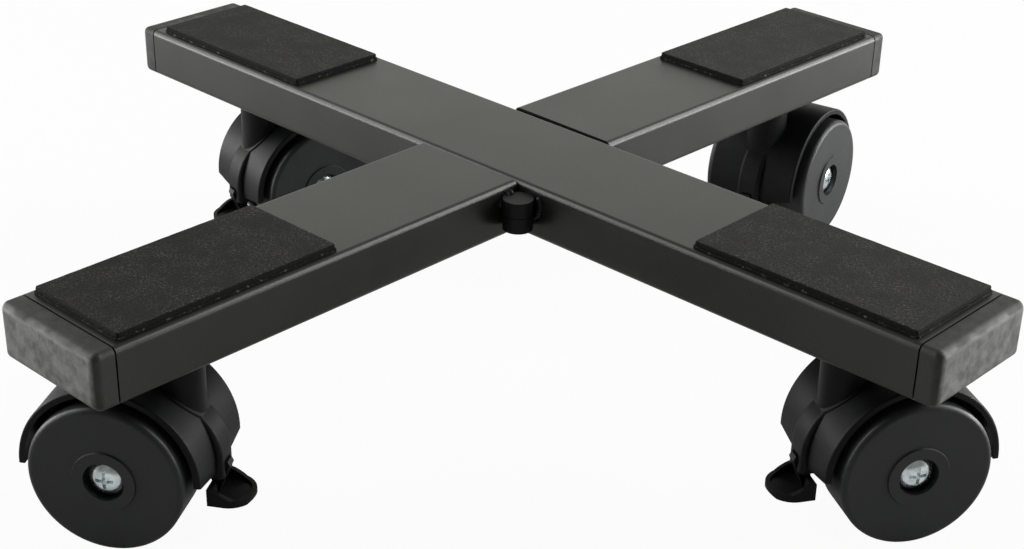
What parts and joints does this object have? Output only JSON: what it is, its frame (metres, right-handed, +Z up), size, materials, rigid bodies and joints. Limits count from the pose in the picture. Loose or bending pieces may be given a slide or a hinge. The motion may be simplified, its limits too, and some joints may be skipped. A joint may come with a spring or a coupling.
{
  "type": "rolling plant stand",
  "caption": "Folding cross of flat steel tubes with foam pads on top and braked twin-wheel swivel casters underneath, for rolling a heavy plant pot about.",
  "frame": {"origin": "on the floor, below the middle of the whole outline", "axes": "+Z up; +X along the main bar towards its front end, the side that both arms fold to; +Y towards the left arm"},
  "size_m": [0.403, 0.4208, 0.0946],
  "materials": {
    "powder_coat": "satin black powder coat",
    "cap_plastic": "satin black moulded plastic",
    "foam_pad": "matt black cellular foam rubber",
    "caster_plastic": "satin black nylon",
    "wheel_plastic": "matt black nylon",
    "zinc": "bright zinc plate"
  },
  "bodies": {
    "frame": {"main_bar": "powder_coat", "front_end_cap": "cap_plastic", "rear_end_cap": "cap_plastic", "front_pad": "foam_pad", "rear_pad": "foam_pad", "right_bar_knuckle": "powder_coat", "left_bar_knuckle": "powder_coat", "right_hinge_pin": "powder_coat", "left_hinge_pin": "powder_coat", "front_caster_stem": "zinc", "front_caster_nut": "zinc", "rear_caster_stem": "zinc", "rear_caster_nut": "zinc"},
    "right_arm": {"right_arm": "powder_coat", "right_end_cap": "cap_plastic", "right_pad": "foam_pad", "right_arm_knuckle": "powder_coat", "right_caster_stem": "zinc", "right_caster_nut": "zinc"},
    "left_arm": {"left_arm": "powder_coat", "left_end_cap": "cap_plastic", "left_pad": "foam_pad", "left_arm_knuckle": "powder_coat", "left_caster_stem": "zinc", "left_caster_nut": "zinc"},
    "front_caster": {"front_caster_housing": "caster_plastic", "front_caster_axle": "zinc", "front_caster_left_screw": "zinc", "front_caster_right_screw": "zinc", "front_caster_lever_pin": "zinc"},
    "front_caster_left_wheel": {"front_caster_left_wheel": "wheel_plastic"},
    "front_caster_right_wheel": {"front_caster_right_wheel": "wheel_plastic"},
    "front_caster_brake_lever": {"front_caster_brake_lever": "caster_plastic"},
    "rear_caster": {"rear_caster_housing": "caster_plastic", "rear_caster_axle": "zinc", "rear_caster_left_screw": "zinc", "rear_caster_right_screw": "zinc", "rear_caster_lever_pin": "zinc"},
    "rear_caster_left_wheel": {"rear_caster_left_wheel": "wheel_plastic"},
    "rear_caster_right_wheel": {"rear_caster_right_wheel": "wheel_plastic"},
    "rear_caster_brake_lever": {"rear_caster_brake_lever": "caster_plastic"},
    "right_caster": {"right_caster_housing": "caster_plastic", "right_caster_axle": "zinc", "right_caster_left_screw": "zinc", "right_caster_right_screw": "zinc", "right_caster_lever_pin": "zinc"},
    "right_caster_left_wheel": {"right_caster_left_wheel": "wheel_plastic"},
    "right_caster_right_wheel": {"right_caster_right_wheel": "wheel_plastic"},
    "right_caster_brake_lever": {"right_caster_brake_lever": "caster_plastic"},
    "left_caster": {"left_caster_housing": "caster_plastic", "left_caster_axle": "zinc", "left_caster_left_screw": "zinc", "left_caster_right_screw": "zinc", "left_caster_lever_pin": "zinc"},
    "left_caster_left_wheel": {"left_caster_left_wheel": "wheel_plastic"},
    "left_caster_right_wheel": {"left_caster_right_wheel": "wheel_plastic"},
    "left_caster_brake_lever": {"left_caster_brake_lever": "caster_plastic"}
  },
  "joints": [
    {"name": "right_arm_fold", "type": "hinge", "parent": "frame", "child": "right_arm", "pos_m": [0.031, -0.0335, 0.0831], "axis": [0, 0, 1], "range_deg": [-0.4, 66]},
    {"name": "left_arm_fold", "type": "hinge", "parent": "frame", "child": "left_arm", "pos_m": [0.031, 0.0285, 0.0787], "axis": [0, 0, -1], "range_deg": [-0.7, 66]},
    {"name": "front_caster_swivel", "type": "hinge", "parent": "frame", "child": "front_caster", "pos_m": [0.1533, -0.0025, 0.062], "axis": [0, 0, 1], "continuous": true},
    {"name": "front_caster_left_wheel_spin", "type": "hinge", "parent": "front_caster", "child": "front_caster_left_wheel", "pos_m": [0.15056, 0.02155, 0.027], "axis": [-0.8499, 0.527, 0], "continuous": true},
    {"name": "front_caster_right_wheel_spin", "type": "hinge", "parent": "front_caster", "child": "front_caster_right_wheel", "pos_m": [0.17606, 0.00574, 0.027], "axis": [-0.8499, 0.527, 0], "continuous": true},
    {"name": "front_caster_brake", "type": "hinge", "parent": "front_caster", "child": "front_caster_brake_lever", "pos_m": [0.1474, -0.01202, 0.032], "axis": [0.8499, -0.527, 0], "range_deg": [0, 10]},
    {"name": "rear_caster_swivel", "type": "hinge", "parent": "frame", "child": "rear_caster", "pos_m": [-0.1533, -0.0025, 0.062], "axis": [0, 0, 1], "continuous": true},
    {"name": "rear_caster_left_wheel_spin", "type": "hinge", "parent": "rear_caster", "child": "rear_caster_left_wheel", "pos_m": [-0.16387, 0.01928, 0.027], "axis": [-0.9767, 0.2147, 0], "continuous": true},
    {"name": "rear_caster_right_wheel_spin", "type": "hinge", "parent": "rear_caster", "child": "rear_caster_right_wheel", "pos_m": [-0.13457, 0.01284, 0.027], "axis": [-0.9767, 0.2147, 0], "continuous": true},
    {"name": "rear_caster_brake", "type": "hinge", "parent": "rear_caster", "child": "rear_caster_brake_lever", "pos_m": [-0.15571, -0.01344, 0.032], "axis": [0.9767, -0.2147, 0], "range_deg": [0, 10]},
    {"name": "right_caster_swivel", "type": "hinge", "parent": "right_arm", "child": "right_caster", "pos_m": [0.00101, -0.16204, 0.062], "axis": [0, 0, 1], "continuous": true},
    {"name": "right_caster_left_wheel_spin", "type": "hinge", "parent": "right_caster", "child": "right_caster_left_wheel", "pos_m": [-0.00702, -0.18488, 0.027], "axis": [0.5351, -0.8448, 0], "continuous": true},
    {"name": "right_caster_right_wheel_spin", "type": "hinge", "parent": "right_caster", "child": "right_caster_right_wheel", "pos_m": [-0.02307, -0.15953, 0.027], "axis": [0.5351, -0.8448, 0], "continuous": true},
    {"name": "right_caster_brake", "type": "hinge", "parent": "right_caster", "child": "right_caster_brake_lever", "pos_m": [0.01047, -0.15605, 0.032], "axis": [-0.5351, 0.8448, 0], "range_deg": [0, 10]},
    {"name": "left_caster_swivel", "type": "hinge", "parent": "left_arm", "child": "left_caster", "pos_m": [0.00179, 0.15722, 0.062], "axis": [0, 0, 1], "continuous": true},
    {"name": "left_caster_left_wheel_spin", "type": "hinge", "parent": "left_caster", "child": "left_caster_left_wheel", "pos_m": [-0.01628, 0.17333, 0.027], "axis": [-0.9848, -0.1736, 0], "continuous": true},
    {"name": "left_caster_right_wheel_spin", "type": "hinge", "parent": "left_caster", "child": "left_caster_right_wheel", "pos_m": [0.01327, 0.17854, 0.027], "axis": [-0.9848, -0.1736, 0], "continuous": true},
    {"name": "left_caster_brake", "type": "hinge", "parent": "left_caster", "child": "left_caster_brake_lever", "pos_m": [0.00374, 0.14619, 0.032], "axis": [0.9848, 0.1736, 0], "range_deg": [0, 10]}
  ]
}
